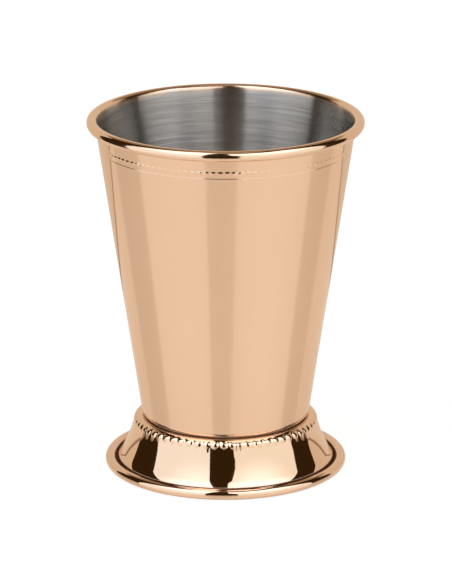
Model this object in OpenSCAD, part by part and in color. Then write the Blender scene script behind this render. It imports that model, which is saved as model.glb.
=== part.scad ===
// Footed julep cup in copper-plated sheet steel, in millimetres.
// A drawn, tapered cup body with a rolled rim and a beaded band stands in a pressed foot
// with a beaded shoulder and a rolled edge. A ring of braze holds the two together.
// The origin is on the axis, on the surface that the cup stands on.

/* [Overall] */
// Height from the surface it stands on to the top of the rim
total_h = 111; // [104:0.5:120]
// Diameter over the rolled rim
rim_d = 84.9; // [80:0.1:90]
// Diameter over the rolled edge of the foot
foot_d = 74.8; // [73.4:0.1:80]
// Height of the foot, up to the crest of its shoulder
foot_h = 15.9; // [14.5:0.05:18]

/* [Cup body] */
// Thickness of the body's sheet
body_t = 0.8; // [0.6:0.05:1]
// Radius of the flat of the floor, out to where its corner bend begins
floor_r = 23.4; // [22.8:0.1:23.7]
// Outside radius of the bend between floor and wall
corner_r = 2.6; // [1.8:0.1:3]
// Outside radius of the rolled rim's section
rim_roll_r = 1.67; // [1.5:0.01:1.9]
// Gap between the lip of the rim's roll and the wall
rim_lip_gap = 0.15; // [0.05:0.05:0.3]

/* [Beaded band of the body] */
// Depth of the middle of the band below the top of the rim
band_drop = 7.6; // [6:0.1:14]
// Height of the pressed channel
band_h = 3.2; // [2.6:0.1:4]
// Depth of the pressed channel
band_depth = 0.18; // [0.1:0.01:0.25]
// Number of beads round the band
band_beads = 116; // [80:1:118]
// Diameter of a bead where it rises from the channel
band_bead_d = 1.9; // [1.4:0.05:2]

/* [Foot] */
// Thickness of the foot's sheet
foot_t = 0.8; // [0.6:0.05:0.9]
// Radius of the circle along the crest of the shoulder
crest_r = 26.1; // [25.8:0.05:26.6]
// Outside radius of the shoulder's bend
shoulder_bend_r = 2.85; // [2.5:0.05:3.1]
// Radius of the hollow curve of the flare
flare_curve_r = 49; // [35:1:90]
// Outside radius of the rolled edge's section
foot_roll_r = 1.61; // [1.4:0.01:1.8]
// Radius of the bend in the valley between flare and roll
valley_r = 0.6; // [0.4:0.05:0.8]
// How far the valley lies round the roll, from the outside over the top
valley_angle = 152; // [145:1:165]
// Depth of the flat worn on the underside of the roll, on which the cup stands
land_depth = 0.08; // [0.04:0.01:0.15]
// Gap between the lip of the foot's roll and the sheet above it
foot_lip_gap = 0.3; // [0.2:0.05:0.5]
// Radius of the hole in the flange under the floor
flange_hole_r = 14; // [10:0.5:18]

/* [Beaded shoulder of the foot] */
// Number of beads round the shoulder
shoulder_beads = 64; // [50:1:66]
// Length of a bead down the shoulder, where it rises from its ground
shoulder_bead_l = 2.9; // [2.4:0.05:3]
// Width of a bead along the row, where it rises from its ground
shoulder_bead_w = 2.45; // [1.8:0.05:2.5]
// Height of a bead over the ground between the beads
shoulder_bead_h = 0.35; // [0.2:0.01:0.4]
// Place of the row of beads on the shoulder's bend, up from level
shoulder_bead_angle = 43; // [38:1:46]

/* [Joint] */
// Thickness of the braze between the cup body and the foot
braze_t = 0.15; // [0.1:0.01:0.2]
// Set-back of the braze from the edge of the flange's hole
braze_setback = 0.5; // [0.2:0.1:1]

/* [Hidden] */
$fn = 96;

// How far neighbouring stretches of sheet run into each other, so that they are one
lap = 0.02;

// Centre of the section of the rim's roll
rim_roll_x = rim_d / 2 - rim_roll_r;
rim_roll_z = total_h - rim_roll_r;
rim_bore_r = rim_roll_r - body_t;
// Centre of the shoulder's bend
shoulder_x = crest_r;
shoulder_z = foot_h - shoulder_bend_r;
// The corner bend of the body rests against the shoulder, with the braze between them
seat_r = corner_r + braze_t;
seat_reach = shoulder_bend_r + seat_r;
corner_x = floor_r;
corner_z = shoulder_z + sqrt(pow(seat_reach, 2) - pow(shoulder_x - corner_x, 2));
seat_angle = atan2(corner_z - shoulder_z, corner_x - shoulder_x);
floor_z = corner_z - corner_r;
flange_z = floor_z - braze_t - foot_t;
// The wall touches the corner bend on one side and the rim's roll on the other
rise_x = rim_roll_x - corner_x;
rise_z = rim_roll_z - corner_z;
taper = atan2(rise_x, rise_z) - asin((corner_r + rim_bore_r) / norm([rise_x, rise_z]));
wall_out = [cos(taper), -sin(taper)];
rim_lip_angle = acos((rim_bore_r - rim_lip_gap) / rim_roll_r) - 180 - taper;
// Middle of the band on the outside of the wall
band_z = total_h - band_drop;
band_x = corner_x + corner_r / cos(taper) + (band_z - corner_z) * tan(taper);
band_bead_sink = band_depth / 6;
// Centre of the section of the foot's roll, lowered by the depth of its worn flat
foot_roll_x = foot_d / 2 - foot_roll_r;
foot_roll_z = foot_roll_r - land_depth;
// Centre of the valley's bend
valley_reach = foot_roll_r + valley_r;
valley_x = foot_roll_x + valley_reach * cos(valley_angle);
valley_z = foot_roll_z + valley_reach * sin(valley_angle);
// The lip of the foot's roll stops short of the underside of the valley
lip_reach = valley_r + foot_t + foot_lip_gap;
lip_turn = acos((pow(valley_reach, 2) + pow(foot_roll_r, 2) - pow(lip_reach, 2)) / (2 * valley_reach * foot_roll_r));
foot_lip_angle = valley_angle + lip_turn - 360;
// Ground between the shoulder's beads
ground_r = shoulder_bend_r - shoulder_bead_h;
bead_half_angle = 90 * shoulder_bead_l / (PI * ground_r);
ground_top_angle = shoulder_bead_angle + bead_half_angle;
// The flare runs from the beads' ground into the valley. Its centre is where the circles
// about the shoulder and about the valley meet
reach_up = flare_curve_r + ground_r;
reach_down = flare_curve_r - valley_r;
span_x = valley_x - shoulder_x;
span_z = valley_z - shoulder_z;
span = norm([span_x, span_z]);
span_part = (pow(reach_up, 2) - pow(reach_down, 2) + pow(span, 2)) / (2 * span);
span_offset = sqrt(pow(reach_up, 2) - pow(span_part, 2));
flare_x = shoulder_x + (span_part * span_x - span_offset * span_z) / span;
flare_z = shoulder_z + (span_part * span_z + span_offset * span_x) / span;
flare_top_angle = atan2(flare_z - shoulder_z, flare_x - shoulder_x);
flare_end_angle = atan2(flare_z - valley_z, flare_x - valley_x);
// Curves of a bead's back, across the row and down the shoulder
bead_cross_r = (pow(shoulder_bead_w / 2, 2) + pow(shoulder_bead_h, 2)) / (2 * shoulder_bead_h);
bead_end_x = ground_r * sin(bead_half_angle);
bead_end_drop = shoulder_bend_r - ground_r * cos(bead_half_angle);
bead_length_r = (pow(bead_end_x, 2) + pow(bead_end_drop, 2)) / (2 * bead_end_drop);
// How deep a bead reaches into the sheet, as a share of its thickness
bead_root_share = 0.8;
bead_root_r = ground_r - bead_root_share * foot_t;

// Sheet bent round [x, z], from radius r_in to r_out and from angle a0 up to a1.
// Both of its ends run on by the lap, into the stretches that they join
module bend(x, z, r_in, r_out, a0, a1) {
    lap_angle = 180 * lap / (PI * r_in);
    start = a0 - lap_angle;
    sweep = a1 - a0 + 2 * lap_angle;
    steps = ceil(sweep / 60);
    reach = 2 * r_out;
    fan = [for (i = [0:steps]) let (a = start + sweep * i / steps) reach * [cos(a), sin(a)]];
    translate([x, z]) intersection() {
        difference() {
            circle(r = r_out);
            circle(r = r_in);
        }
        polygon(concat([[0, 0]], fan));
    }
}

// Section of the body: floor, corner bend, tapered wall, the back of the band, and rolled rim
module body_section() {
    low = [corner_x, corner_z] + corner_r * wall_out;
    high = [rim_roll_x, rim_roll_z] - rim_bore_r * wall_out;
    translate([0, floor_z]) square([corner_x, body_t]);
    bend(corner_x, corner_z, corner_r - body_t, corner_r, -90, -taper);
    polygon([low, high, high - body_t * wall_out, low - body_t * wall_out]);
    translate([band_x, band_z]) rotate(-taper)
        translate([-body_t - band_depth, -band_h / 2]) square([body_t, band_h]);
    bend(rim_roll_x, rim_roll_z, rim_bore_r, rim_roll_r, rim_lip_angle, 180 - taper);
}

// Section that the beading wheel presses into the outside of the wall
module band_section() {
    translate([band_x, band_z]) rotate(-taper)
        translate([-band_depth, -band_h / 2]) square([2 * band_depth, band_h]);
}

// Bead of the band: the cap of a sphere that rises from the bottom of the channel
module band_bead() {
    cap_r = (pow(band_bead_d / 2, 2) + pow(band_depth, 2)) / (2 * band_depth);
    intersection() {
        translate([0, 0, band_depth - cap_r]) sphere(r = cap_r);
        translate([0, 0, -band_bead_sink]) cylinder(h = 2 * band_depth, r = band_bead_d);
    }
}

module cup_body() {
    color("#dba57f") {
        difference() {
            rotate_extrude() body_section();
            rotate_extrude() band_section();
        }
        for (i = [0:band_beads - 1])
            rotate([0, 0, i * 360 / band_beads]) translate([band_x, 0, band_z])
                rotate([0, 90 + taper, 0]) translate([0, 0, -band_depth]) band_bead();
    }
}

// Section of the foot: flange, seat, shoulder, ground of the beads, flare, valley and rolled edge
module foot_section() {
    translate([flange_hole_r, flange_z]) square([corner_x - flange_hole_r, foot_t]);
    bend(corner_x, corner_z, seat_r, seat_r + foot_t, -90, seat_angle - 180);
    bend(shoulder_x, shoulder_z, shoulder_bend_r - foot_t, shoulder_bend_r, ground_top_angle, seat_angle);
    bend(shoulder_x, shoulder_z, ground_r - foot_t, ground_r, flare_top_angle, (ground_top_angle + seat_angle) / 2);
    bend(flare_x, flare_z, flare_curve_r, flare_curve_r + foot_t, 180 + flare_top_angle, 180 + flare_end_angle);
    bend(valley_x, valley_z, valley_r, valley_r + foot_t, 180 + flare_end_angle, 180 + valley_angle);
    difference() {
        bend(foot_roll_x, foot_roll_z, foot_roll_r - foot_t, foot_roll_r, foot_lip_angle, valley_angle);
        translate([foot_roll_x - foot_roll_r, -foot_roll_r]) square([2 * foot_roll_r, foot_roll_r]);
    }
}

// Bead of the shoulder: an oval cushion, cut off inside the sheet
module shoulder_bead() {
    intersection() {
        translate([0, 0, shoulder_bend_r - bead_cross_r]) rotate([0, 90, 0]) rotate_extrude() intersection() {
            translate([bead_cross_r - bead_length_r, 0]) circle(r = bead_length_r);
            translate([0, -bead_length_r]) square([bead_cross_r, 2 * bead_length_r]);
        }
        translate([-shoulder_bead_l, -shoulder_bead_w, bead_root_r])
            cube([2 * shoulder_bead_l, 2 * shoulder_bead_w, shoulder_bend_r]);
    }
}

module foot() {
    color("#e3b08a") {
        rotate_extrude() foot_section();
        for (i = [0:shoulder_beads - 1])
            rotate([0, 0, i * 360 / shoulder_beads]) translate([shoulder_x, 0, shoulder_z])
                rotate([0, 90 - shoulder_bead_angle, 0]) shoulder_bead();
    }
}

// Braze that fills the seat between the body's floor and corner and the foot
module braze_ring() {
    inner_r = flange_hole_r + braze_setback;
    color("#c9b27a") rotate_extrude() {
        translate([inner_r, flange_z + foot_t]) square([corner_x - inner_r, braze_t]);
        bend(corner_x, corner_z, corner_r, seat_r, -90, seat_angle - 180);
    }
}

cup_body();
foot();
braze_ring();
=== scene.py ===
import math

import bpy
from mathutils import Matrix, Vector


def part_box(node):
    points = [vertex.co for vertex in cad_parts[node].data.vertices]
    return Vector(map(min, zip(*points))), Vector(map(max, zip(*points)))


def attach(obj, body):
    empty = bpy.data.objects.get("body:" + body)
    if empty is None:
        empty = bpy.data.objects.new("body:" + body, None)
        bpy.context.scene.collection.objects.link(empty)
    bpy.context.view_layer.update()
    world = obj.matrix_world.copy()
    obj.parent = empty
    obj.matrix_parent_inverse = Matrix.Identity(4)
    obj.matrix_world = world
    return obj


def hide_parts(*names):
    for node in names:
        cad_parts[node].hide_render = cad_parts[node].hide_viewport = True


# Footed julep cup in copper-plated sheet steel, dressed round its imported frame.
# Lengths are in metres and angles in degrees. The cup stands on z = 0 with its axis on z.

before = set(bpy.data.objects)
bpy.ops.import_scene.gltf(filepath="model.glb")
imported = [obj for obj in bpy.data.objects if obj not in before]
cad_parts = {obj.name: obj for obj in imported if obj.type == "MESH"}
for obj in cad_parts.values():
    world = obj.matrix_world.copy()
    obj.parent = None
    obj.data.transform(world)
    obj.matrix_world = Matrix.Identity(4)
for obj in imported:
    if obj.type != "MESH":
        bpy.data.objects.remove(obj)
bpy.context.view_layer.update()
mm = 0.001
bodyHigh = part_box("cup_body")[1]
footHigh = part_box("foot")[1]
print("frame loaded, the cup is", round(bodyHigh.z / mm, 2), "mm tall")


def cosine(angle):
    return math.cos(math.radians(angle))


def sine(angle):
    return math.sin(math.radians(angle))


def bearing(start, end):
    return math.degrees(math.atan2(end[1] - start[1], end[0] - start[0]))


def along(point, angle, length):
    return (point[0] + length * cosine(angle), point[1] + length * sine(angle))


def smoothStep(low, high, value):
    t = min(max((value - low) / (high - low), 0.0), 1.0)
    return t * t * (3 - 2 * t)


# A sheet's section is a list of rows. Each row has its place (radius, height), the way that the
# outer face looks, and its station: how far along the sheet it lies from the middle of the beads.
# An outline goes with values for its rows: how deep in the lining each lies, the share of the beads'
# height that prints there, and the painted shade on it.
farFromBeads = 1.0           # a station that no bead reaches
sameRow = 0.001 * mm         # places nearer than this are one row
liningStart = 0.01 * mm      # what lies deeper than this is lining


def addRow(section, place, look, station):
    if not section or math.dist(section[-1][0], place) > sameRow:
        section.append((place, look, station))


def addStraight(section, start, end, steps, leftFace=False, stationOf=None, sinkOf=None):
    length = math.dist(start, end)
    travel = ((end[0] - start[0]) / length, (end[1] - start[1]) / length)
    look = (-travel[1], travel[0]) if leftFace else (travel[1], -travel[0])
    for step in range(steps + 1):
        run = length * step / steps
        station = stationOf(run) if stationOf else farFromBeads
        sink = sinkOf(station) if sinkOf else 0.0
        place = (start[0] + travel[0] * run - look[0] * sink, start[1] + travel[1] * run - look[1] * sink)
        addRow(section, place, look, station)


def addBend(section, centre, radius, fromAngle, toAngle, steps, hollow=False, stationOf=None):
    side = -1 if hollow else 1
    for step in range(steps + 1):
        angle = fromAngle + (toAngle - fromAngle) * step / steps
        reach = radius(angle) if callable(radius) else radius
        station = stationOf(angle) if stationOf else farFromBeads
        addRow(section, along(centre, angle, reach), (side * cosine(angle), side * sine(angle)), station)


def cutEdge(row, thickness, outward, steps=5):
    # the sheet's cut edge, rounded over from the outer face to the inner one
    place, look, station = row
    half = thickness / 2
    middle = (place[0] - look[0] * half, place[1] - look[1] * half)
    travel = (-look[1] * outward, look[0] * outward)
    rows = []
    for step in range(1, steps):
        angle = 90 - 180 * step / steps
        rise = half * sine(angle)
        bulge = half / 2 * cosine(angle)
        point = (middle[0] + look[0] * rise + travel[0] * bulge,
                 middle[1] + look[1] * rise + travel[1] * bulge)
        rows.append((point, look, station))
    return rows


def innerFace(section, thickness):
    return [((place[0] - look[0] * thickness, place[1] - look[1] * thickness), look, station)
            for place, look, station in section]


# Cup body: drawn tapered cup, beaded band, rolled rim
body = {
    "sheet": 0.8 * mm,
    "floorRadius": 23.4 * mm,
    "floorSteps": 2,
    "cornerBend": 2.6 * mm,
    "cornerSteps": 8,
    "wallSteps": 2,
    "rimRoll": 1.67 * mm,
    "rimLipGap": 0.15 * mm,
    "boreSteps": 10,
    "rollSteps": 25,
    "bandDrop": 7.6 * mm,
    "bandHeight": 3.2 * mm,
    "bandDepth": 0.03 * mm,
    "bandEdge": 0.05 * mm,
    "guard": 0.06 * mm,                # a row this near to an edge keeps its shading off the straight wall
    "beads": 116,
    "columnsPerBead": 8,
    "beadWidth": 1.7 * mm,
    "beadLength": 1.35 * mm,
    "beadHeight": 0.055 * mm,
    "beadMargin": 0.1 * mm,            # the fine rows reach this far past the beads
    "beadPhase": 0.25,
    "outerBandSteps": (3, 1, 1, 14, 1, 1, 3),
    "innerBandSteps": (1, 1, 1, 3, 1, 1, 1),
    "innerPrintShare": 0.06,           # the band's print hardly shows on the inside
    "spliceAngle": 100,
    "spliceShift": 0.45,
    "unevenness": 0.06,
    "ripple": 0.004 * mm,
    "rippleSize": 14 * mm,
    "seed": 3,
    "liningTopShare": 0.6,             # of the roll's radius, up from where the wall meets the roll
    "liningInsetShare": 0.2,           # of the roll's radius, in from its middle
    "seamShade": (-62, -38),         # angles on the corner bend, from full painted shade to a faint tail of it
    "seamShadeTail": (-34, -12, 0.25),      # angles where the faint painted shade ends, and its strength
}

# Foot: pressed shell with a beaded shoulder, hollow flare and rolled edge
foot = {
    "sheet": 0.8 * mm,
    "flangeHole": 14 * mm,
    "flangeSteps": 2,
    "seatSteps": 4,
    "crestRadius": 26.1 * mm,
    "shoulderBend": 2.85 * mm,
    "shoulderSteps": 28,
    "groundDepth": 0.35 * mm,
    "groundEase": (15, 78),            # angles on the shoulder, from sunk ground to the crest
    "flareTop": 14.5,
    "flareCurve": 40 * mm,
    "flareSlope": 26.4,
    "flareSteps": 5,
    "toeCurve": 8.5 * mm,
    "toeSlope": 45,
    "toeSteps": 7,
    "valleyBend": 0.45 * mm,
    "valleySteps": 6,
    "roll": 1.61 * mm,
    "rollSteps": 22,
    "landDepth": 0.08 * mm,            # the worn flat that the cup stands on
    "lipGap": 0.3 * mm,
    "hiddenEvery": 4,                  # the hidden face takes one row of this many
    "beads": 64,
    "columnsPerBead": 15,
    "beadWidth": 2.4 * mm,
    "beadLength": 2.6 * mm,
    "beadHeight": 0.25 * mm,
    "beadAngle": 42,
    "beadFade": (42, 74),              # the beads sink into the crest between these angles
    "beadPhase": 0.69,
    "spliceAngle": -82.5,
    "spliceShift": 0.5,
    "unevenness": 0.05,
    "ripple": 0.012 * mm,
    "rippleSize": 6 * mm,
    "seed": 8,
    # painted shade in the deep groove behind the roll: where it starts and ends, and how softly
    "grooveShade": (33.36 * mm, 34.4 * mm),
    "grooveFade": 0.08 * mm,
    "seamShade": (1.1 * mm, 1.4 * mm),    # in from the crest, from none to full painted shade
}

braze = {
    "thickness": 0.15 * mm,
    "setback": 0.5 * mm,
    "steps": 6,
    "bulgeSteps": 4,
    "columns": 360,
    "ripple": 0.04 * mm,
    "rippleSize": 2 * mm,
    "seed": 5,
}

# Places that the two shells share
shoulder = (foot["crestRadius"], footHigh.z - foot["shoulderBend"])
seatBend = body["cornerBend"] + braze["thickness"]
seatReach = foot["shoulderBend"] + seatBend
cornerRise = math.sqrt(seatReach ** 2 - (shoulder[0] - body["floorRadius"]) ** 2)
corner = (body["floorRadius"], shoulder[1] + cornerRise)
seatAngle = bearing(shoulder, corner)
floorUnder = corner[1] - body["cornerBend"]


def seamPaintedShade(size, angle):
    # painted shade in the seam above the foot: full on the underside and low on the corner bend, with a faint
    # tail further up
    low, high, strength = size["seamShadeTail"]
    faintShade = strength * (1 - smoothStep(low, high, angle))
    return 1 - smoothStep(*size["seamShade"], angle) * (1 - faintShade)


def bodyOutline(size):
    thickness = size["sheet"]
    guard = size["guard"]
    bore = size["rimRoll"] - thickness
    roll = (bodyHigh.x - size["rimRoll"], bodyHigh.z - size["rimRoll"])
    reach = math.dist(corner, roll)
    taper = 90 - bearing(corner, roll) - math.degrees(math.asin((size["cornerBend"] + bore) / reach))
    wallFoot = along(corner, -taper, size["cornerBend"])
    wallTop = along(roll, 180 - taper, bore)
    lipAngle = math.degrees(math.acos((bore - size["rimLipGap"]) / size["rimRoll"])) - 180 - taper

    bandMiddle = (bodyHigh.z - size["bandDrop"] - wallFoot[1]) / cosine(taper)
    bandHalf = size["bandHeight"] / 2
    bandOuter = bandHalf + size["bandEdge"]
    bandInner = bandHalf - size["bandEdge"]
    upperStops = (size["beadLength"] / 2 + size["beadMargin"], bandInner - guard, bandInner, bandOuter)
    bandStops = (*(-stop for stop in upperStops[::-1]), *upperStops)

    def channel(station):
        return size["bandDepth"] * (1 - smoothStep(bandInner, bandOuter, abs(station)))

    def wallPoint(run):
        return along(wallFoot, 90 - taper, run)

    def sheetFace(sinkShare, bandSteps, boreSteps):
        sheet = []
        addStraight(sheet, (0, floorUnder), (corner[0], floorUnder), size["floorSteps"])
        addBend(sheet, corner, size["cornerBend"], -90, -taper, size["cornerSteps"])
        addStraight(sheet, wallFoot, wallPoint(guard), 1)
        addStraight(sheet, wallPoint(guard), wallPoint(bandMiddle - bandOuter - guard), size["wallSteps"])
        for low, high, steps in zip(bandStops, bandStops[1:], bandSteps):
            addStraight(sheet, wallPoint(bandMiddle + low), wallPoint(bandMiddle + high), steps,
                        stationOf=lambda run: low + run, sinkOf=lambda station: channel(station) * sinkShare)
        addStraight(sheet, wallPoint(bandMiddle + bandOuter + guard), wallTop, size["wallSteps"])
        addBend(sheet, roll, bore, 180 - taper, lipAngle, boreSteps, hollow=True)
        return sheet

    sheet = sheetFace(1, size["outerBandSteps"], size["boreSteps"])
    inside = sheetFace(size["innerPrintShare"], size["innerBandSteps"], size["rollSteps"])
    inside = innerFace(inside, thickness)[::-1]
    outline = sheet + cutEdge(sheet[-1], thickness, 1) + inside
    outerRows = len(outline) - len(inside)

    # how far down the bare lining a row lies, from where the inside leaves the rim's roll
    liningTop = along(roll, 180 - taper, size["rimRoll"])[1] + size["rimRoll"] * size["liningTopShare"]
    liningSide = roll[0] - size["rimRoll"] * size["liningInsetShare"]
    depths = [max(liningTop - place[1], 0.0) if place[0] < liningSide else 0.0
              for place, look, station in inside]
    # painted shade on the underside and corner bend, where the body sits down in the foot
    shadeShare = [seamPaintedShade(size, bearing(corner, place)) if place[1] < wallFoot[1] else 0.0
            for place, look, station in sheet]
    return outline, {
        "liningDepth": [0.0] * outerRows + depths,
        "print": [1.0] * outerRows + [size["innerPrintShare"]] * len(inside),
        "paintedShade": shadeShare + [0.0] * (len(outline) - len(sheet)),
    }


def footPaintedShade(size, place, look):
    # painted shade in the groove behind the roll, and in the seam under the body, on the faces that look up
    start, end = size["grooveShade"]
    fade = size["grooveFade"]
    groove = smoothStep(start - fade, start + fade, place[0]) - smoothStep(end - fade, end + fade, place[0])
    shadeStart, shadeFull = size["seamShade"]
    seam = smoothStep(shoulder[0] - shadeStart, shoulder[0] - shadeFull, place[0])
    return groove + seam if look[1] > 0 else 0.0


def footOutline(size):
    thickness = size["sheet"]
    roll = (footHigh.x - size["roll"], size["roll"] - size["landDepth"])
    ground = size["shoulderBend"] - size["groundDepth"]
    flareTurn = 180 + size["flareTop"]
    slopeTurn = 180 + size["flareSlope"]
    toeTurn = 180 + size["toeSlope"]

    # the flare leaves the beads' ground, straightens, and turns up in a toe above the valley. Its straight
    # stretch is as long as it takes for the valley's bend to touch the roll
    flare = along(shoulder, size["flareTop"], ground + size["flareCurve"])
    straightStart = along(flare, slopeTurn, size["flareCurve"])
    valleyReach = size["roll"] + size["valleyBend"]
    valleyStart = along(along(straightStart, size["flareSlope"], size["toeCurve"]),
                        toeTurn, size["toeCurve"] - size["valleyBend"])
    downhill = (sine(size["flareSlope"]), -cosine(size["flareSlope"]))
    fromRoll = (valleyStart[0] - roll[0], valleyStart[1] - roll[1])
    beside = fromRoll[0] * downhill[0] + fromRoll[1] * downhill[1]
    straight = -beside - math.sqrt(beside ** 2 - math.dist(valleyStart, roll) ** 2 + valleyReach ** 2)
    straightEnd = along(straightStart, size["flareSlope"] - 90, straight)
    toe = along(straightEnd, size["flareSlope"], size["toeCurve"])
    valley = along(valleyStart, size["flareSlope"] - 90, straight)
    valleyAngle = bearing(roll, valley)

    # the roll's lip stops short of the underside of the valley
    lipReach = size["valleyBend"] + thickness + size["lipGap"]
    lipTurn = math.degrees(math.acos((valleyReach ** 2 + size["roll"] ** 2 - lipReach ** 2)
                                     / (2 * valleyReach * size["roll"])))

    def shoulderReach(angle):
        # the ground sinks away from the shoulder's crest, and the beads stand on it
        return ground + size["groundDepth"] * smoothStep(*size["groundEase"], angle)

    def beadStation(angle):
        return math.radians(size["beadAngle"] - angle) * ground

    def beadPrint(station):
        angle = size["beadAngle"] - math.degrees(station / ground)
        return 1 - smoothStep(*size["beadFade"], angle)

    flangeTop = floorUnder - braze["thickness"]
    sheet = []
    addStraight(sheet, (size["flangeHole"], flangeTop), (corner[0], flangeTop), size["flangeSteps"],
                leftFace=True)
    addBend(sheet, corner, seatBend, -90, seatAngle - 180, size["seatSteps"], hollow=True)
    addBend(sheet, shoulder, shoulderReach, seatAngle, size["flareTop"], size["shoulderSteps"],
            stationOf=beadStation)
    addBend(sheet, flare, size["flareCurve"], flareTurn, slopeTurn, size["flareSteps"], hollow=True)
    addStraight(sheet, straightStart, straightEnd, 1, leftFace=True)
    addBend(sheet, toe, size["toeCurve"], slopeTurn, toeTurn, size["toeSteps"], hollow=True)
    addBend(sheet, valley, size["valleyBend"], toeTurn, 180 + valleyAngle, size["valleySteps"], hollow=True)
    addBend(sheet, roll, size["roll"], valleyAngle, valleyAngle + lipTurn - 360, size["rollSteps"])
    sheet = [((place[0], max(place[1], 0.0)), look, station) for place, look, station in sheet]

    outline = sheet + cutEdge(sheet[-1], thickness, -1)
    outline += innerFace(sheet, thickness)[::-size["hiddenEvery"]]
    outline += cutEdge(sheet[0], thickness, -1)[::-1]
    outline.append(outline[0])
    # painted shade on the groove behind the roll and on the seam under the body
    shadeShare = [footPaintedShade(size, place, look) for place, look, station in sheet]
    return outline, {
        "print": [beadPrint(station) for place, look, station in outline],
        "paintedShade": shadeShare + [0.0] * (len(outline) - len(sheet)),
    }


def brazeOutline(size):
    # a fillet between floor and flange, bulging a little at its inner edge
    inner = foot["flangeHole"] + size["setback"]
    low = floorUnder - size["thickness"]
    half = size["thickness"] / 2
    outline = []
    addStraight(outline, (inner, low), (corner[0], low), size["steps"])
    addBend(outline, corner, seatBend, -90, seatAngle - 180, size["steps"])
    back = []
    addBend(back, corner, body["cornerBend"], seatAngle - 180, -90, size["steps"], hollow=True)
    addStraight(back, (corner[0], floorUnder), (inner, floorUnder), size["steps"])
    outline += back
    for step in range(1, size["bulgeSteps"]):
        angle = 180 * step / size["bulgeSteps"]
        place = (inner - half * sine(angle), floorUnder - half + half * cosine(angle))
        outline.append((place, (-1, 0), farFromBeads))
    outline.append(outline[0])
    return outline, {}


# Nodes in short, for trees of both kinds
def feed(tree, socket, value):
    if isinstance(value, bpy.types.NodeSocket):
        tree.links.new(value, socket)
    else:
        socket.default_value = value


def calc(tree, operation, *values):
    node = tree.nodes.new("ShaderNodeMath")
    node.operation = operation
    for socket, value in zip(node.inputs, values):
        feed(tree, socket, value)
    return node.outputs[0]


def plus(tree, first, second):
    return calc(tree, "ADD", first, second)


def minus(tree, first, second):
    return calc(tree, "SUBTRACT", first, second)


def times(tree, first, second):
    return calc(tree, "MULTIPLY", first, second)


def over(tree, first, second):
    return calc(tree, "DIVIDE", first, second)


def vectorCalc(tree, operation, first, second=None, scale=None):
    node = tree.nodes.new("ShaderNodeVectorMath")
    node.operation = operation
    feed(tree, node.inputs[0], first)
    if second is not None:
        feed(tree, node.inputs[1], second)
    if scale is not None:
        feed(tree, node.inputs["Scale"], scale)
    return node.outputs["Value"] if operation in ("LENGTH", "DOT_PRODUCT") else node.outputs["Vector"]


# Geometry Nodes: the sheet turned round the axis, with its row of beads pushed out from behind
def sampleRow(tree, outline, row, kind, value):
    node = tree.nodes.new("GeometryNodeSampleIndex")
    node.data_type = kind
    feed(tree, node.inputs["Geometry"], outline)
    feed(tree, node.inputs["Value"], value)
    feed(tree, node.inputs["Index"], row)
    return node.outputs["Value"]


def namedValue(tree, kind, name):
    node = tree.nodes.new("GeometryNodeInputNamedAttribute")
    node.data_type = kind
    node.inputs["Name"].default_value = name
    return node.outputs["Attribute"]


def turned(tree, vector, angle):
    node = tree.nodes.new("ShaderNodeVectorRotate")
    node.rotation_type = "Z_AXIS"
    feed(tree, node.inputs["Vector"], vector)
    feed(tree, node.inputs["Angle"], angle)
    return node.outputs["Vector"]


def enabledSockets(sockets):
    return [socket for socket in sockets if socket.enabled]


def cellRandom(tree, cell, seed, low, high):
    node = tree.nodes.new("FunctionNodeRandomValue")
    node.data_type = "FLOAT"
    for socket, value in zip(enabledSockets(node.inputs), (low, high, cell, seed)):
        feed(tree, socket, value)
    return enabledSockets(node.outputs)[0]


# How the beading wheel strikes
wheel = {
    "domePower": 2.4,          # how fast a dome falls off, where 2 is a round one
    "farAway": 9.0,            # in half lengths of a bead, and no row counts as further
    "runOut": 0.12,
    "weakest": -1.5,           # how much weaker a bead may be, in units of the unevenness
    "splicePower": 4.0,
    "spliceBlend": 0.1,
    "spliceStrength": 0.75,
    "secondBlend": 0.15,
    "secondSeed": 10,
}


def wheelImpression(tree, given, angle, station, pitch, shift, seedStep):
    # one impression of the beading wheel: a flattened dome in each cell round the row
    turnCount = over(tree, times(tree, angle, given["Beads"]), math.tau)
    run = plus(tree, plus(tree, turnCount, given["Bead Phase"]), shift)
    cell = calc(tree, "FLOOR", calc(tree, "WRAP", run, given["Beads"], 0))
    local = minus(tree, calc(tree, "FRACT", plus(tree, run, given["Beads"])), 0.5)
    seed = plus(tree, given["Seed"], seedStep)

    sway = times(tree, given["Unevenness"], cellRandom(tree, cell, seed, -1.0, 1.0))
    across = times(tree, plus(tree, local, times(tree, sway, 0.5)), pitch)
    across = over(tree, across, times(tree, given["Bead Width"], 0.5))
    slip = times(tree, cellRandom(tree, cell, plus(tree, seed, 1), -0.5, 0.5),
                 times(tree, given["Unevenness"], given["Bead Length"]))
    down = over(tree, plus(tree, station, slip), times(tree, given["Bead Length"], 0.5))
    down = calc(tree, "MINIMUM", calc(tree, "ABSOLUTE", down), wheel["farAway"])

    away = plus(tree, calc(tree, "POWER", calc(tree, "ABSOLUTE", across), wheel["domePower"]),
                calc(tree, "POWER", down, wheel["domePower"]))
    dome = calc(tree, "SMOOTH_MAX", minus(tree, 1.0, away), 0.0, wheel["runOut"])
    weaker = cellRandom(tree, cell, plus(tree, seed, 2), wheel["weakest"], 0.0)
    return times(tree, dome, plus(tree, 1.0, times(tree, given["Unevenness"], weaker)))


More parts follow.
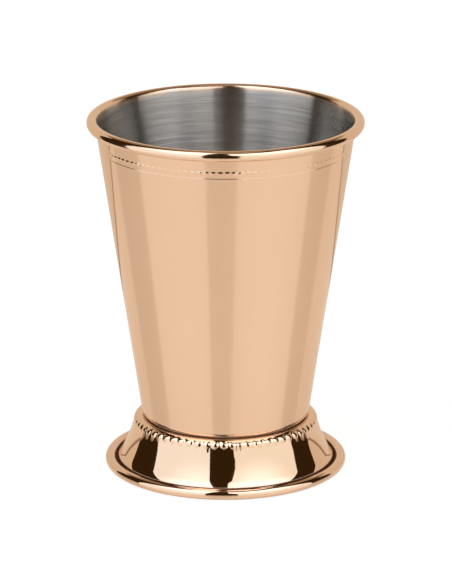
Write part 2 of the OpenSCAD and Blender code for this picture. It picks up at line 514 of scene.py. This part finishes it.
def beadedRow(tree, given, angle, station, pitch):
    # the wheel meets its own start unevenly, so a few beads there are struck twice
    offset = calc(tree, "WRAP", minus(tree, angle, given["Splice Angle"]), -math.pi, math.pi)
    cells = over(tree, times(tree, calc(tree, "ABSOLUTE", offset), given["Beads"]), math.tau)
    alone = calc(tree, "POWER", cells, wheel["splicePower"])
    alone = calc(tree, "SMOOTH_MIN", alone, 1.0, wheel["spliceBlend"])
    twice = times(tree, minus(tree, 1.0, alone), wheel["spliceStrength"])
    first = wheelImpression(tree, given, angle, station, pitch, 0.0, 0)
    second = wheelImpression(tree, given, angle, station, pitch, given["Splice Shift"], wheel["secondSeed"])
    return calc(tree, "SMOOTH_MAX", first, times(tree, second, twice), wheel["secondBlend"])


def slowRipple(tree, given, place):
    # slow unevenness of the spun sheet itself
    noise = tree.nodes.new("ShaderNodeTexNoise")
    noise.noise_dimensions = "4D"
    feed(tree, noise.inputs["Vector"], place)
    feed(tree, noise.inputs["W"], given["Seed"])
    feed(tree, noise.inputs["Scale"], over(tree, 1.0, given["Ripple Size"]))
    noise.inputs["Detail"].default_value = 1.0
    return times(tree, minus(tree, noise.outputs[0], 0.5), given["Ripple"])


def keepValue(tree, geometry, name, value):
    node = tree.nodes.new("GeometryNodeStoreNamedAttribute")
    node.data_type = "FLOAT"
    node.domain = "POINT"
    node.inputs["Name"].default_value = name
    feed(tree, node.inputs["Geometry"], geometry)
    feed(tree, node.inputs["Value"], value)
    return node.outputs["Geometry"]


def makeTurnedSheetTree():
    tree = bpy.data.node_groups.new("turnedSheet", "GeometryNodeTree")
    panel = tree.interface
    panel.new_socket("Geometry", in_out="OUTPUT", socket_type="NodeSocketGeometry")
    for name, kind in (("Outline", "Geometry"), ("Columns", "Int"), ("Beads", "Int"), ("Bead Width", "Float"),
                       ("Bead Length", "Float"), ("Bead Height", "Float"), ("Bead Phase", "Float"),
                       ("Splice Angle", "Float"), ("Splice Shift", "Float"), ("Unevenness", "Float"),
                       ("Ripple", "Float"), ("Ripple Size", "Float"), ("Seed", "Int"), ("Finish", "Material"),
                       ("Lining", "Material")):
        panel.new_socket(name, in_out="INPUT", socket_type="NodeSocket" + kind)
    given = tree.nodes.new("NodeGroupInput").outputs
    outline = given["Outline"]

    # a grid with a row for each point of the outline, and its columns round the cup
    size = tree.nodes.new("GeometryNodeAttributeDomainSize")
    feed(tree, size.inputs["Geometry"], outline)
    columns = plus(tree, given["Columns"], 1)
    grid = tree.nodes.new("GeometryNodeMeshGrid")
    feed(tree, grid.inputs["Vertices X"], size.outputs["Point Count"])
    feed(tree, grid.inputs["Vertices Y"], columns)
    index = tree.nodes.new("GeometryNodeInputIndex").outputs[0]
    row = calc(tree, "FLOOR", over(tree, plus(tree, index, 0.5), columns))
    column = minus(tree, index, times(tree, row, columns))
    angle = over(tree, times(tree, column, math.tau), given["Columns"])

    def rowValue(name, kind="FLOAT"):
        return sampleRow(tree, outline, row, kind, namedValue(tree, kind, name))

    position = tree.nodes.new("GeometryNodeInputPosition").outputs[0]
    place = sampleRow(tree, outline, row, "FLOAT_VECTOR", position)
    look = rowValue("look", "FLOAT_VECTOR")
    radius = vectorCalc(tree, "DOT_PRODUCT", place, (1, 0, 0))
    pitch = over(tree, times(tree, radius, math.tau), given["Beads"])
    raised = times(tree, beadedRow(tree, given, angle, rowValue("station"), pitch), rowValue("print"))
    turnedPlace = turned(tree, place, angle)
    push = plus(tree, times(tree, raised, given["Bead Height"]), slowRipple(tree, given, turnedPlace))
    pushed = vectorCalc(tree, "SCALE", turned(tree, look, angle), scale=push)
    moved = vectorCalc(tree, "ADD", turnedPlace, pushed)

    kept = grid.outputs["Mesh"]
    for name in ("liningDepth", "paintedShade"):
        kept = keepValue(tree, kept, name, rowValue(name))
    setPosition = tree.nodes.new("GeometryNodeSetPosition")
    feed(tree, setPosition.inputs["Geometry"], kept)
    feed(tree, setPosition.inputs["Position"], moved)
    merge = tree.nodes.new("GeometryNodeMergeByDistance")
    feed(tree, merge.inputs["Geometry"], setPosition.outputs["Geometry"])
    merge.inputs["Distance"].default_value = sameRow / 2
    smooth = tree.nodes.new("GeometryNodeSetShadeSmooth")
    feed(tree, smooth.inputs["Geometry"], merge.outputs["Geometry"])

    realize = tree.nodes.new("GeometryNodeRealizeInstances")
    feed(tree, realize.inputs["Geometry"], smooth.outputs["Geometry"])
    finish = tree.nodes.new("GeometryNodeSetMaterial")
    feed(tree, finish.inputs["Geometry"], realize.outputs["Geometry"])
    feed(tree, finish.inputs["Material"], given["Finish"])
    lined = tree.nodes.new("FunctionNodeCompare")
    lined.data_type = "FLOAT"
    lined.operation = "GREATER_THAN"
    feed(tree, lined.inputs["A"], namedValue(tree, "FLOAT", "liningDepth"))
    lined.inputs["B"].default_value = liningStart
    liningFinish = tree.nodes.new("GeometryNodeSetMaterial")
    feed(tree, liningFinish.inputs["Geometry"], finish.outputs["Geometry"])
    feed(tree, liningFinish.inputs["Selection"], lined.outputs[0])
    feed(tree, liningFinish.inputs["Material"], given["Lining"])
    out = tree.nodes.new("NodeGroupOutput")
    feed(tree, out.inputs["Geometry"], liningFinish.outputs["Geometry"])
    return tree


def rippleInputs(size):
    return {"Ripple": size["ripple"], "Ripple Size": size["rippleSize"], "Seed": size["seed"]}


def beadInputs(size):
    return {
        "Columns": size["beads"] * size["columnsPerBead"],
        "Beads": size["beads"],
        "Bead Width": size["beadWidth"],
        "Bead Length": size["beadLength"],
        "Bead Height": size["beadHeight"],
        "Bead Phase": size["beadPhase"],
        "Splice Angle": math.radians(size["spliceAngle"]),
        "Splice Shift": size["spliceShift"],
        "Unevenness": size["unevenness"],
    }


def outlineMesh(name, outline, values):
    mesh = bpy.data.meshes.new(name)
    mesh.from_pydata([(place[0], 0, place[1]) for place, look, station in outline],
                     [(i, i + 1) for i in range(len(outline) - 1)], [])
    usual = {"liningDepth": 0.0, "print": 1.0, "paintedShade": 0.0}
    mesh.attributes.new("look", "FLOAT_VECTOR", "POINT")
    for attribute in ("station", *usual):
        mesh.attributes.new(attribute, "FLOAT", "POINT")
    for i, (place, look, station) in enumerate(outline):
        mesh.attributes["look"].data[i].vector = (look[0], 0, look[1])
        mesh.attributes["station"].data[i].value = station
        for attribute, value in usual.items():
            mesh.attributes[attribute].data[i].value = values[attribute][i] if attribute in values else value
    return mesh


def turnSheet(name, section, inputs, finish, lining, tree):
    mesh = outlineMesh(name, *section)
    piece = bpy.data.objects.new(name, mesh)
    bpy.context.scene.collection.objects.link(piece)
    modifier = piece.modifiers.new("turned", "NODES")
    modifier.node_group = tree
    inputs = dict(inputs, Finish=finish, Lining=lining)
    for item in tree.interface.items_tree:
        if item.item_type == "SOCKET" and item.in_out == "INPUT" and item.name in inputs:
            modifier[item.identifier] = inputs[item.name]
    bpy.context.view_layer.update()
    depsgraph = bpy.context.evaluated_depsgraph_get()
    turnedMesh = bpy.data.meshes.new_from_object(piece.evaluated_get(depsgraph))
    piece.modifiers.clear()
    piece.data = turnedMesh
    bpy.data.meshes.remove(mesh)
    turnedMesh.name = name
    print(name, "has", len(turnedMesh.polygons), "faces")
    return piece


# Materials
def emptyMaterial(name):
    material = bpy.data.materials.new(name)
    material.use_nodes = True
    tree = material.node_tree
    tree.nodes.clear()
    return material, tree


def showSurface(tree, surface):
    out = tree.nodes.new("ShaderNodeOutputMaterial")
    tree.links.new(surface, out.inputs[0])


def newMaterial(name):
    material, tree = emptyMaterial(name)
    shader = tree.nodes.new("ShaderNodeBsdfPrincipled")
    showSurface(tree, shader.outputs[0])
    return material, tree, shader


def noiseTexture(tree, vector, scale, detail=3.0, roughness=0.5):
    node = tree.nodes.new("ShaderNodeTexNoise")
    feed(tree, node.inputs["Vector"], vector)
    node.inputs["Scale"].default_value = scale
    node.inputs["Detail"].default_value = detail
    node.inputs["Roughness"].default_value = roughness
    return node.outputs[0]


def ramp(tree, value, fromLow, fromHigh, toLow=0.0, toHigh=1.0):
    node = tree.nodes.new("ShaderNodeMapRange")
    node.interpolation_type = "SMOOTHSTEP"
    for socket, given in zip(enabledSockets(node.inputs), (value, fromLow, fromHigh, toLow, toHigh)):
        feed(tree, socket, given)
    return node.outputs[0]


def blendColour(tree, factor, first, second):
    node = tree.nodes.new("ShaderNodeMix")
    node.data_type = "RGBA"
    for socket, value in zip(enabledSockets(node.inputs), (factor, first, second)):
        feed(tree, socket, value)
    return enabledSockets(node.outputs)[0]


def bumpFrom(tree, height, distance):
    node = tree.nodes.new("ShaderNodeBump")
    node.inputs["Strength"].default_value = 1.0
    node.inputs["Distance"].default_value = distance
    feed(tree, node.inputs["Height"], height)
    return node.outputs[0]


def objectPlace(tree):
    place = tree.nodes.new("ShaderNodeTexCoord").outputs["Object"]
    flat = vectorCalc(tree, "MULTIPLY", place, (1, 1, 0))
    return place, vectorCalc(tree, "LENGTH", flat)


def pieceValue(tree, name):
    node = tree.nodes.new("ShaderNodeAttribute")
    node.attribute_name = name
    return node.outputs["Fac"]


def latheStreaks(tree, place, radius, grain, detail=3.0):
    # noise that runs slowly round the cup and fast along its section, as a polishing wheel leaves it
    around, across = grain
    parts = tree.nodes.new("ShaderNodeSeparateXYZ")
    feed(tree, parts.inputs[0], place)
    lathe = tree.nodes.new("ShaderNodeCombineXYZ")
    feed(tree, lathe.inputs[0], times(tree, parts.outputs[0], around))
    feed(tree, lathe.inputs[1], times(tree, parts.outputs[1], around))
    feed(tree, lathe.inputs[2], times(tree, plus(tree, parts.outputs[2], radius), across))
    return noiseTexture(tree, lathe.outputs[0], 1.0, detail, roughness=0.6)


streakRange = (0.3, 0.7)     # the part of a noise's values that a blend is spread over

plating = {
    "copper": (0.92, 0.71, 0.53, 1),
    "copperDeep": (0.90, 0.685, 0.505, 1),
    "cloudScale": 60.0,
    "grain": (45.0, 2600.0),
    "shineShares": (0.8, 1.2),             # of the polish's roughness, in bright and dull streaks
    # painted shade for the groove and seams: its dark brown, how patchy it is, and the roughness it adds
    "paintedShadeColour": (0.056, 0.0165, 0.004, 1),
    "paintedShadeScale": 700.0,
    "paintedShadeRange": (0.1, 0.6),
    "paintedShadeShares": (0.94, 1.0),
    "paintedShadeRoughness": 0.15,
}
bodyPolish = {"roughness": 0.09, "streakDepth": 0.00004 * mm}
footPolish = {"roughness": 0.04, "streakDepth": 0.00002 * mm}


def platedMaterial(name, polish):
    material, tree, shader = newMaterial(name)
    place, radius = objectPlace(tree)
    streaks = latheStreaks(tree, place, radius, plating["grain"])
    cloud = noiseTexture(tree, place, plating["cloudScale"])
    patchy = noiseTexture(tree, place, plating["paintedShadeScale"])
    # painted shade: the marked rows turn from copper to a dark brown, rougher finish that is not metal
    shadeShare = times(tree, pieceValue(tree, "paintedShade"),
                 ramp(tree, patchy, *plating["paintedShadeRange"], *plating["paintedShadeShares"]))
    copper = blendColour(tree, cloud, plating["copper"], plating["copperDeep"])
    roughnesses = [polish["roughness"] * share for share in plating["shineShares"]]
    shine = ramp(tree, streaks, *streakRange, *roughnesses)
    shader.inputs["Specular IOR Level"].default_value = 0.0
    feed(tree, shader.inputs["Metallic"], minus(tree, 1.0, shadeShare))
    feed(tree, shader.inputs["Base Color"], blendColour(tree, shadeShare, copper, plating["paintedShadeColour"]))
    feed(tree, shader.inputs["Roughness"], plus(tree, shine, times(tree, shadeShare, plating["paintedShadeRoughness"])))
    feed(tree, shader.inputs["Normal"], bumpFrom(tree, times(tree, streaks, polish["streakDepth"]), 1.0))
    return material


lining = {
    "steel": (0.58, 0.58, 0.565, 1),
    "steelDark": (0.45, 0.45, 0.435, 1),
    "cloudScale": 90.0,
    "fineGrain": (45.0, 5200.0),
    "wideGrain": (60.0, 900.0),
    "fineShare": 0.55,
    "roughness": 0.16,
    "roughnessSpread": 0.1,
    "anisotropy": 1.0,
    "anisotropyTurn": 0.25,
    "brushTilt": 0.22,
    "brushStart": 0.6 * mm,        # the brushing is whole this far down
    "platingFade": 2.3 * mm,       # the copper runs out over this depth
    "patch": 2.0 * mm,             # how unevenly it ends
}


def liningMaterial(name, polish):
    # bare brushed steel inside, with the copper plating running out over its top
    material, tree, shader = newMaterial(name)
    place, radius = objectPlace(tree)
    streaks = latheStreaks(tree, place, radius, lining["fineGrain"], detail=4.0)
    wideStreaks = latheStreaks(tree, place, radius, lining["wideGrain"])
    cloud = noiseTexture(tree, place, lining["cloudScale"])
    depth = pieceValue(tree, "liningDepth")
    patch = times(tree, minus(tree, cloud, 0.5), lining["patch"])
    bare = ramp(tree, plus(tree, depth, patch), 0.0, lining["platingFade"])
    grain = plus(tree, times(tree, streaks, lining["fineShare"]),
                 times(tree, wideStreaks, 1 - lining["fineShare"]))
    steel = blendColour(tree, ramp(tree, grain, *streakRange), lining["steelDark"], lining["steel"])
    copper = blendColour(tree, cloud, plating["copper"], plating["copperDeep"])
    feed(tree, shader.inputs["Base Color"], blendColour(tree, bare, copper, steel))
    shader.inputs["Metallic"].default_value = 1.0

    sharpness = ramp(tree, depth, 0.0, lining["brushStart"])
    spread = times(tree, minus(tree, grain, 0.5), lining["roughnessSpread"])
    rough = times(tree, sharpness, plus(tree, lining["roughness"], spread))
    feed(tree, shader.inputs["Roughness"], plus(tree, polish["roughness"], rough))
    shader.inputs["Anisotropic"].default_value = lining["anisotropy"]
    shader.inputs["Anisotropic Rotation"].default_value = lining["anisotropyTurn"]
    tangent = tree.nodes.new("ShaderNodeTangent")
    tangent.direction_type = "RADIAL"
    tangent.axis = "Z"
    feed(tree, shader.inputs["Tangent"], tangent.outputs[0])

    # the brushing's fine lines run round the cup, so they only tip the reflections up and down
    tip = times(tree, minus(tree, streaks, 0.5), times(tree, sharpness, lining["brushTilt"]))
    facing = tree.nodes.new("ShaderNodeNewGeometry").outputs["Normal"]
    tipped = vectorCalc(tree, "ADD", facing, vectorCalc(tree, "SCALE", (0, 0, 1), scale=tip))
    feed(tree, shader.inputs["Normal"], vectorCalc(tree, "NORMALIZE", tipped))
    return material


filler = {
    "brass": (0.62, 0.50, 0.27, 1),
    "brassDark": (0.42, 0.30, 0.17, 1),
    "cloudScale": 900.0,
    "roughness": (0.3, 0.55),
    "bumpDepth": 0.05 * mm,
}


def brazeMaterial(name):
    material, tree, shader = newMaterial(name)
    place = tree.nodes.new("ShaderNodeTexCoord").outputs["Object"]
    cloud = noiseTexture(tree, place, filler["cloudScale"], detail=4.0, roughness=0.6)
    shader.inputs["Metallic"].default_value = 1.0
    feed(tree, shader.inputs["Base Color"], blendColour(tree, cloud, filler["brass"], filler["brassDark"]))
    feed(tree, shader.inputs["Roughness"], ramp(tree, cloud, *streakRange, *filler["roughness"]))
    feed(tree, shader.inputs["Normal"], bumpFrom(tree, cloud, filler["bumpDepth"]))
    return material


bodyFinish = platedMaterial("platedBody", bodyPolish)
liningFinish = liningMaterial("brushedLining", bodyPolish)
footFinish = platedMaterial("platedFoot", footPolish)
brazeFinish = brazeMaterial("brazeFiller")
print("materials made")

sheetTree = makeTurnedSheetTree()
cupPiece = turnSheet("drawnCup", bodyOutline(body), {**beadInputs(body), **rippleInputs(body)},
                     bodyFinish, liningFinish, sheetTree)
footPiece = turnSheet("beadedFoot", footOutline(foot), {**beadInputs(foot), **rippleInputs(foot)},
                      footFinish, footFinish, sheetTree)
brazeInputs = {"Columns": braze["columns"], **rippleInputs(braze)}
brazePiece = turnSheet("brazeFillet", brazeOutline(braze), brazeInputs, brazeFinish, brazeFinish, sheetTree)

for piece, node, slot in ((cupPiece, "cup_body", "body_plate"), (footPiece, "foot", "foot_plate"),
                          (brazePiece, "braze_ring", "braze")):
    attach(piece, "root")
    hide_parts(node)
print("pieces in place")


# Studio: a table, two large softboxes in front, a pale wall behind, and the dark room between them.
# Azimuth 0 is towards the camera, and positive is to the right.
studio = {
    "distance": 1.3,
    "low": -28,
    "slitLeft": -18.75,
    "slitRight": (11.3, 3.3),          # azimuth low down and high up
    "slitRightHeights": (26, 42),
    "leftBoxEdge": -87.5,
    "leftBoxHigh": 80,
    "leftTint": (1.04, 1.04, 1.06, 1),
    "leftHot": (-40, 60, 48),          # azimuth, height and spread of the box's brighter middle
    "rightBoxEdge": 87,
    "rightBoxHigh": 66,
    "rightTint": (1.01, 0.97, 0.9, 1),
    "rightHot": (46, 57, 48),
    "boxHot": (1.8, 1.72, 1.85, 1),
    "hotPower": 2.0,
    "wall": (115, 237.5),
    "wallHigh": 37,
    "wallTint": (0.72, 0.57, 0.44, 1),
    "upperWall": (128, 228),
    "upperWallTint": (0.32, 0.22, 0.14, 1),
    "ceilingLow": 76,
    "ceilingTint": (0.40, 0.31, 0.22, 1),
    "ceilingShare": 1.01,              # of the cards' distance, so that it lies behind them
    "roomTint": (0.033, 0.0156, 0.0052, 1),
}

sweep = {
    "reach": 8.0,
    "sides": 96,
    "drop": 0.2 * mm,
    "paper": (0.85, 0.85, 0.85, 1),
    "glow": 1.1,
    "glowRadii": (250 * mm, 700 * mm),
    "glowShares": (0.8, 1.0),          # near the cup and far from it
}

table = {
    "left": -262 * mm,
    "right": 332 * mm,
    "front": -224 * mm,
    "rear": 168 * mm,
    "rearSlope": 0.045,
    "top": (0.32, 0.285, 0.25, 1),
    "glow": (0.47, 0.382, 0.312, 1),
    "roughness": 0.4,
    "specular": 0.3,
    "coatRoughness": 0.04,
    "coatIor": 1.6,
    # painted shade: the height and colour of the dark strip along the table's rear and sides
    "edgeShadeHeight": 4 * mm,
    "edgeShadeTint": (0.31, 0.18, 0.11, 1),
}


def glowMaterial(name, colour, hot=None):
    material, tree = emptyMaterial(name)
    glow = tree.nodes.new("ShaderNodeEmission")
    glow.inputs["Color"].default_value = colour
    if hot:
        azimuth, height, spread = hot
        place = tree.nodes.new("ShaderNodeTexCoord").outputs["Object"]
        aim = (sine(azimuth) * cosine(height), -cosine(azimuth) * cosine(height), sine(height))
        near = vectorCalc(tree, "DOT_PRODUCT", vectorCalc(tree, "NORMALIZE", place), aim)
        middle = calc(tree, "POWER", ramp(tree, near, cosine(spread), 1.0), studio["hotPower"])
        feed(tree, glow.inputs["Color"], blendColour(tree, middle, colour, studio["boxHot"]))
    showSurface(tree, glow.outputs[0])
    return material


def sweepMaterial(name):
    # white paper that keeps the cup's soft shadow, and glows white by itself away from the cup
    material, tree = emptyMaterial(name)
    rays = tree.nodes.new("ShaderNodeLightPath")
    place, radius = objectPlace(tree)
    glowShare = ramp(tree, radius, *sweep["glowRadii"], *sweep["glowShares"])
    paper = tree.nodes.new("ShaderNodeBsdfDiffuse")
    paper.inputs["Color"].default_value = sweep["paper"]
    white = tree.nodes.new("ShaderNodeEmission")
    white.inputs["Strength"].default_value = sweep["glow"]
    mix = tree.nodes.new("ShaderNodeMixShader")
    feed(tree, mix.inputs[0], times(tree, rays.outputs["Is Camera Ray"], glowShare))
    feed(tree, mix.inputs[1], paper.outputs[0])
    feed(tree, mix.inputs[2], white.outputs[0])
    showSurface(tree, mix.outputs[0])
    return material


def tableMaterial(name):
    material, tree, shader = newMaterial(name)
    for socket, value in (("Base Color", table["top"]), ("Roughness", table["roughness"]),
                          ("Specular IOR Level", table["specular"]), ("Coat Weight", 1.0),
                          ("Coat Roughness", table["coatRoughness"]), ("Coat IOR", table["coatIor"]),
                          ("Emission Color", table["glow"]), ("Emission Strength", 1.0)):
        shader.inputs[socket].default_value = value
    return material


def stageSheet(name, verts, faces, material):
    mesh = bpy.data.meshes.new(name)
    mesh.from_pydata(verts, [], faces)
    mesh.materials.append(material)
    sheet = bpy.data.objects.new(name, mesh)
    bpy.context.scene.collection.objects.link(sheet)
    return sheet


def stageCard(name, edges, heights, distance, material, steps=24):
    # a curved card between two edges, each an azimuth that may change with height
    verts, faces = [], []
    for i in range(steps + 1):
        height = heights[0] + (heights[1] - heights[0]) * i / steps
        start, end = (edge(height) if callable(edge) else edge for edge in edges)
        out, up = distance * cosine(height), distance * sine(height)
        for j in range(steps + 1):
            azimuth = start + (end - start) * j / steps
            verts.append((out * sine(azimuth), -out * cosine(azimuth), up))
    for i in range(steps):
        for j in range(steps):
            a = i * (steps + 1) + j
            faces.append((a, a + 1, a + steps + 2, a + steps + 1))
    card = stageSheet(name, verts, faces, material)
    card.visible_camera = False
    card.visible_shadow = False


def slitRightEdge(height):
    low, high = studio["slitRight"]
    return low + (high - low) * smoothStep(*studio["slitRightHeights"], height)


def placeCards():
    wallTop, ceilingLow = studio["wallHigh"], studio["ceilingLow"]
    distance = studio["distance"]
    leftGlow = glowMaterial("leftSoftbox", studio["leftTint"], studio["leftHot"])
    rightGlow = glowMaterial("rightSoftbox", studio["rightTint"], studio["rightHot"])
    wallGlow = glowMaterial("paleWall", studio["wallTint"])
    ceilingGlow = glowMaterial("warmCeiling", studio["ceilingTint"])
    upperWallGlow = glowMaterial("upperWall", studio["upperWallTint"])
    stageCard("leftSoftboxCard", (studio["leftBoxEdge"], studio["slitLeft"]),
              (studio["low"], studio["leftBoxHigh"]), distance, leftGlow)
    stageCard("rightSoftboxCard", (slitRightEdge, studio["rightBoxEdge"]),
              (studio["low"], studio["rightBoxHigh"]), distance, rightGlow)
    stageCard("paleWallCard", studio["wall"], (studio["low"], wallTop), distance, wallGlow)
    stageCard("upperWallCard", studio["upperWall"], (wallTop, ceilingLow), distance, upperWallGlow)
    stageCard("ceilingCard", (-180, 180), (ceilingLow, 90), distance * studio["ceilingShare"], ceilingGlow)


def placeSweep():
    # the camera sees an endless white sweep, and the metal sees the real table's bounded top in its place
    sides = range(sweep["sides"])
    verts = [(*along((0, 0), 360 * i / len(sides), sweep["reach"]), -sweep["drop"]) for i in sides]
    sheet = stageSheet("whiteSweep", verts, [sides], sweepMaterial("whiteSweep"))
    sheet.visible_glossy = False


def placeTable():
    # a glossy top, with a low strip round its rear and sides that glows dark brown: painted shade for the
    # dark gap beyond the table's edges
    quad = [(0, 1, 2, 3)]
    left, right = table["left"], table["right"]
    rearLeft, rearRight = ((x, table["rear"] + x * table["rearSlope"]) for x in (left, right))
    verts = [(left, table["front"], 0), (right, table["front"], 0), (*rearRight, 0), (*rearLeft, 0)]
    sheets = [stageSheet("tableTop", verts, quad, tableMaterial("glossyTable"))]
    edgeShadeGlow = glowMaterial("tableEdgeShade", table["edgeShadeTint"])
    edgeShadeEnds = [(left, 0), rearLeft, rearRight, (right, 0)]
    for i, (start, end) in enumerate(zip(edgeShadeEnds, edgeShadeEnds[1:])):
        verts = [(*start, 0), (*end, 0), (*end, table["edgeShadeHeight"]), (*start, table["edgeShadeHeight"])]
        sheets.append(stageSheet("tableEdgeShade.%d" % i, verts, quad, edgeShadeGlow))
    for sheet in sheets:
        sheet.visible_camera = False
        sheet.visible_diffuse = False
        sheet.visible_shadow = False


placeCards()
placeSweep()
placeTable()
print("studio built")

# One soft lamp overhead lights the sweep, and stays out of the metal's reflections
overhead = {"size": 1.2, "power": 6.0, "place": (0, -0.1, 1.1)}
lampData = bpy.data.lights.new("overheadLamp", "AREA")
lampData.shape = "DISK"
lampData.size = overhead["size"]
lampData.energy = overhead["power"]
lamp = bpy.data.objects.new("overheadLamp", lampData)
lamp.location = overhead["place"]
lamp.visible_glossy = False
bpy.context.scene.collection.objects.link(lamp)

# The room is white to the camera, and dark to the metal
world = bpy.data.worlds.new("room")
bpy.context.scene.world = world
world.use_nodes = True
worldTree = world.node_tree
worldTree.nodes.clear()
worldRays = worldTree.nodes.new("ShaderNodeLightPath")
sky = worldTree.nodes.new("ShaderNodeBackground")
skyColour = blendColour(worldTree, worldRays.outputs["Is Camera Ray"], studio["roomTint"], (1, 1, 1, 1))
feed(worldTree, sky.inputs["Color"], skyColour)
worldOut = worldTree.nodes.new("ShaderNodeOutputWorld")
worldTree.links.new(sky.outputs[0], worldOut.inputs[0])

# Camera, fitted to the photograph's ellipses
view = {
    "distance": 1288.2 * mm,
    "tilt": 17.0257,
    "aimHeight": 55.0125 * mm,
    "focalPixels": 4174.03,
    "framePixels": 584,
    "axisLeftPixels": 0.4,
    "sensor": 36.0,
    "clip": (0.05, 50),
}
cameraData = bpy.data.cameras.new("camera")
cameraData.sensor_width = view["sensor"]
cameraData.lens = view["focalPixels"] * view["sensor"] / view["framePixels"]
cameraData.shift_x = view["axisLeftPixels"] / view["framePixels"]
cameraData.clip_start, cameraData.clip_end = view["clip"]
camera = bpy.data.objects.new("camera", cameraData)
cameraOut, cameraUp = along((0, view["aimHeight"]), view["tilt"], view["distance"])
camera.location = (0, -cameraOut, cameraUp)
camera.rotation_euler = (math.radians(90 - view["tilt"]), 0, 0)
bpy.context.scene.collection.objects.link(camera)
bpy.context.scene.camera = camera
bpy.context.scene.view_settings.view_transform = "Standard"
print("lamp, room and camera ready")
